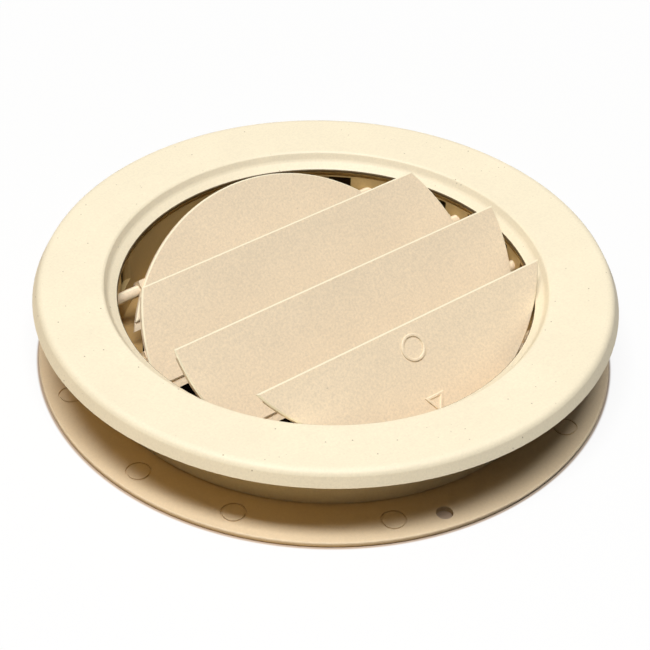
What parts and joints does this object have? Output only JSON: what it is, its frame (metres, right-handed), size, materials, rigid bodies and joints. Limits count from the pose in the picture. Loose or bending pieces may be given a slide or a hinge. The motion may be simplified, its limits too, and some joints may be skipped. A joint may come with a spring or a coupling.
{
  "type": "round air register",
  "caption": "Round cream plastic air register: screw-on flange with a collar, trim ring with a sloping rim that turns on it, and linked tilting louvres that open and close the duct.",
  "frame": {"origin": "centre of the base's flat mounting face", "axes": "+Z out of the mounting face into the room, +X along the louvre pins, +Y towards the louvres' raised edges"},
  "size_m": [0.1694, 0.1694, 0.0299],
  "materials": {
    "base_plastic": "matt moulded plastic, cream",
    "ring_plastic": "matt moulded plastic, cream",
    "louvre_plastic": "matt moulded plastic, cream"
  },
  "bodies": {
    "base": {"mounting_base": "base_plastic"},
    "face": {"trim_ring": "ring_plastic"},
    "rear_louvre": {"louvre_rear": "louvre_plastic"},
    "upper_louvre": {"louvre_upper": "louvre_plastic"},
    "lower_louvre": {"louvre_lower": "louvre_plastic"},
    "front_louvre": {"louvre_front": "louvre_plastic"},
    "link": {"link_bar": "louvre_plastic"}
  },
  "joints": [
    {"name": "face_turn", "type": "hinge", "parent": "base", "child": "face", "pos_m": [0, 0, 0.0137], "axis": [0, 0, 1], "continuous": true},
    {"name": "upper_tilt", "type": "hinge", "parent": "face", "child": "upper_louvre", "pos_m": [0, 0.0105, 0.0137], "axis": [1, 0, 0], "range_deg": [-46.5, 0]},
    {"name": "rear_tilt", "type": "hinge", "parent": "face", "child": "rear_louvre", "pos_m": [0, 0.0385, 0.0137], "axis": [1, 0, 0], "range_deg": [-46.5, 0]},
    {"name": "lower_tilt", "type": "hinge", "parent": "face", "child": "lower_louvre", "pos_m": [0, -0.0175, 0.0137], "axis": [1, 0, 0], "range_deg": [-46.5, 0]},
    {"name": "front_tilt", "type": "hinge", "parent": "face", "child": "front_louvre", "pos_m": [0, -0.0455, 0.0137], "axis": [1, 0, 0], "range_deg": [-46.5, 0]},
    {"name": "link_swing", "type": "hinge", "parent": "upper_louvre", "child": "link", "pos_m": [0.0024, 0.01214, 0.00525], "axis": [1, 0, 0], "range_deg": [0, 46.5]}
  ],
  "couplings": [
    {"joint": "rear_tilt", "follows": "upper_tilt", "ratio": 1},
    {"joint": "lower_tilt", "follows": "upper_tilt", "ratio": 1},
    {"joint": "front_tilt", "follows": "upper_tilt", "ratio": 1},
    {"joint": "link_swing", "follows": "upper_tilt", "ratio": -1}
  ]
}
